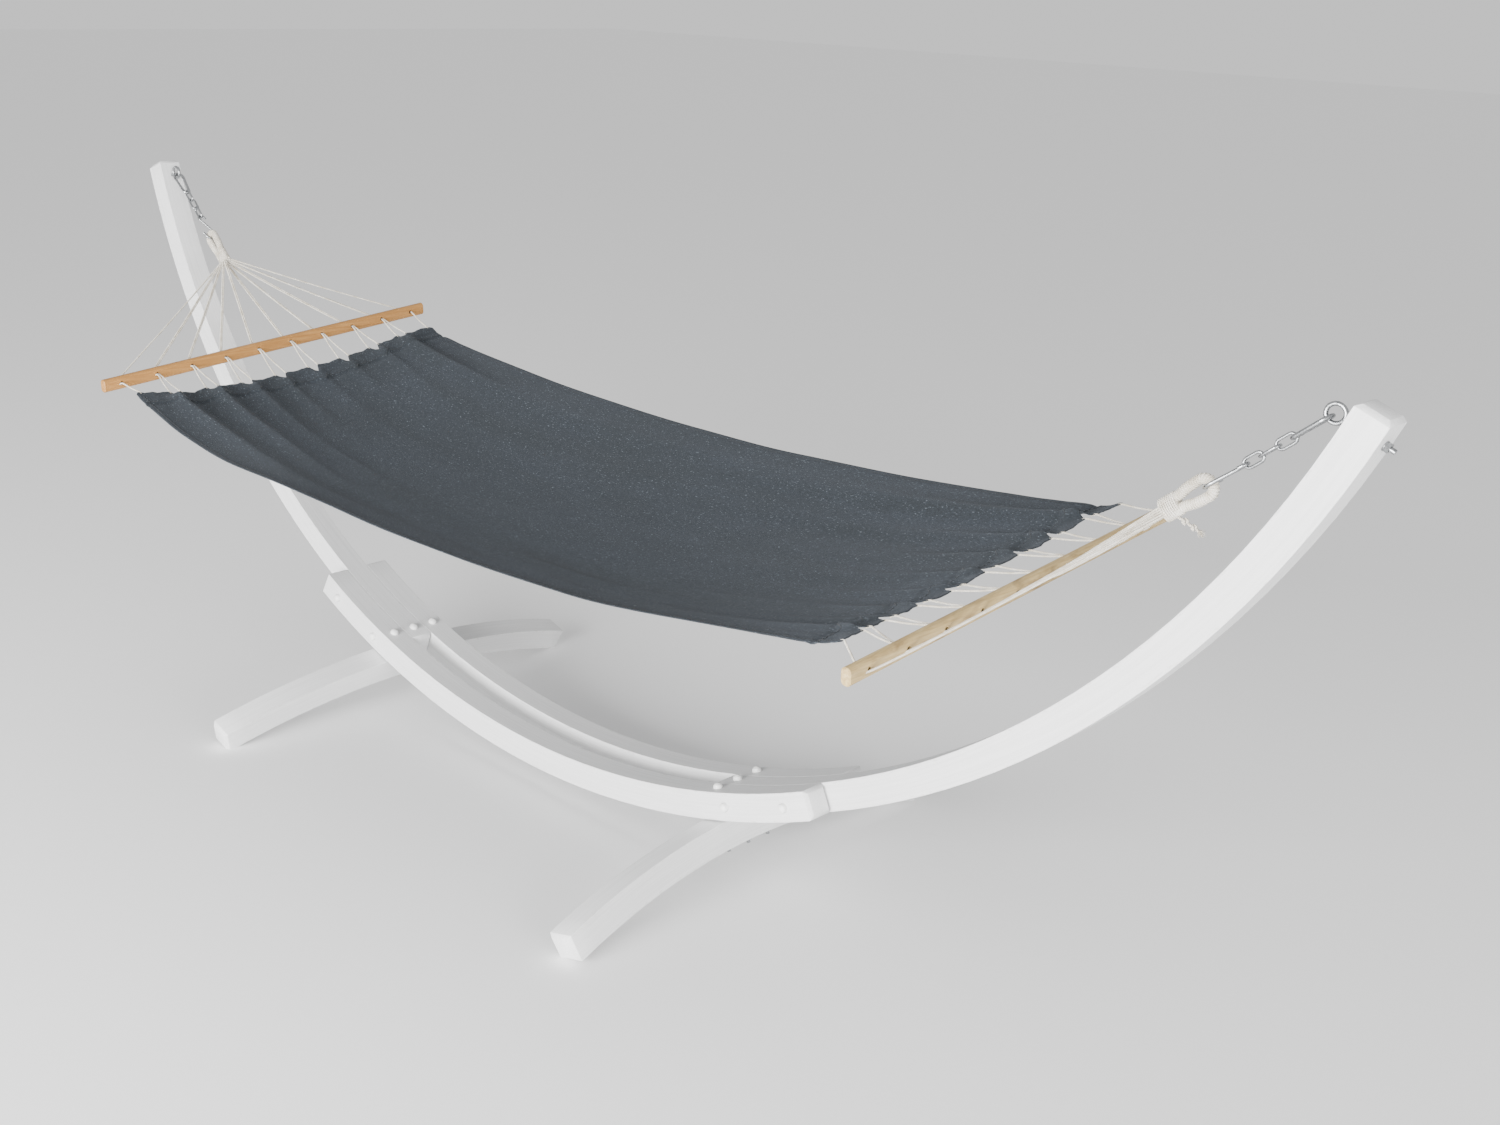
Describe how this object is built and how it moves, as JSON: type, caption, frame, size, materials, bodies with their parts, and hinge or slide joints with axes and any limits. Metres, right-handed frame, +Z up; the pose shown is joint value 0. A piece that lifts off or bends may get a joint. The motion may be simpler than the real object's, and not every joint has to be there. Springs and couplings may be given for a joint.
{
  "type": "hammock on stand",
  "caption": "Free-standing arched timber hammock stand with crossed feet and a cloth hammock hung on spreader bars, rope fans, chains and snap hooks.",
  "frame": {"origin": "on the floor under the middle of the stand", "axes": "+X along the hammock, +Y across it from the front rail to the back rail, +Z up"},
  "size_m": [3.1468, 1.0092, 1.1395],
  "materials": {
    "white_paint": "white painted, satin",
    "white_cap": "satin",
    "zinc": "zinc plated",
    "oiled_wood": "oiled",
    "pale_wood": "bare",
    "cotton_rope": "twisted cotton",
    "dark_cloth": "melange weave"
  },
  "bodies": {
    "stand": {"front_rail": "white_paint", "back_rail": "white_paint", "left_arm": "white_paint", "right_arm": "white_paint", "left_foot": "white_paint", "right_foot": "white_paint", "left_side_bolt_1": "zinc", "left_side_cap_1": "white_cap", "left_side_nut_1": "zinc", "left_side_bolt_2": "zinc", "left_side_cap_2": "white_cap", "left_side_nut_2": "zinc", "right_side_bolt_1": "zinc", "right_side_cap_1": "white_cap", "right_side_nut_1": "zinc", "right_side_bolt_2": "zinc", "right_side_cap_2": "white_cap", "right_side_nut_2": "zinc", "left_foot_bolt_1": "zinc", "left_foot_cap_1": "white_cap", "left_foot_nut_1": "zinc", "left_foot_bolt_2": "zinc", "left_foot_cap_2": "white_cap", "left_foot_nut_2": "zinc", "left_foot_bolt_3": "zinc", "left_foot_cap_3": "white_cap", "left_foot_nut_3": "zinc", "right_foot_bolt_1": "zinc", "right_foot_cap_1": "white_cap", "right_foot_nut_1": "zinc", "right_foot_bolt_2": "zinc", "right_foot_cap_2": "white_cap", "right_foot_nut_2": "zinc", "right_foot_bolt_3": "zinc", "right_foot_cap_3": "white_cap", "right_foot_nut_3": "zinc", "left_eye_bolt": "zinc", "left_eye_nut": "zinc", "right_eye_bolt": "zinc", "right_eye_nut": "zinc"},
    "left_chain": {"left_snap_hook": "zinc", "left_gate_pin": "zinc", "left_chain_link_1": "zinc", "left_chain_link_2": "zinc", "left_chain_link_3": "zinc", "left_s_hook": "zinc"},
    "right_chain": {"right_snap_hook": "zinc", "right_gate_pin": "zinc", "right_chain_link_1": "zinc", "right_chain_link_2": "zinc", "right_chain_link_3": "zinc", "right_s_hook": "zinc"},
    "left_gate": {"left_snap_gate": "zinc"},
    "right_gate": {"right_snap_gate": "zinc"},
    "bed": {"hammock_cloth": "dark_cloth", "left_clew": "cotton_rope", "right_clew": "cotton_rope", "left_spreader_bar": "oiled_wood", "right_spreader_bar": "pale_wood"}
  },
  "joints": [
    {"name": "right_swing", "type": "hinge", "parent": "stand", "child": "right_chain", "pos_m": [1.47854, 0, 1.10734], "axis": [1, 0, 0], "range_deg": [-30, 30]},
    {"name": "left_swing", "type": "hinge", "parent": "stand", "child": "left_chain", "pos_m": [-1.47854, 0, 1.10734], "axis": [1, 0, 0], "range_deg": [-30, 30]},
    {"name": "bed_roll", "type": "hinge", "parent": "right_chain", "child": "bed", "pos_m": [1.32452, 0, 0.9707], "axis": [1, 0, 0], "range_deg": [-10, 10]},
    {"name": "right_gate_hinge", "type": "hinge", "parent": "right_chain", "child": "right_gate", "pos_m": [1.442, 0.00782, 1.07493], "axis": [0.6637, 0, -0.748], "range_deg": [0, 25], "stiffness_Nm_per_rad": 0.02, "springref_deg": -17.19},
    {"name": "left_gate_hinge", "type": "hinge", "parent": "left_chain", "child": "left_gate", "pos_m": [-1.442, -0.00782, 1.07493], "axis": [-0.6637, 0, -0.748], "range_deg": [0, 25], "stiffness_Nm_per_rad": 0.02, "springref_deg": -17.19}
  ],
  "couplings": [
    {"joint": "left_swing", "follows": "right_swing", "ratio": 1}
  ]
}
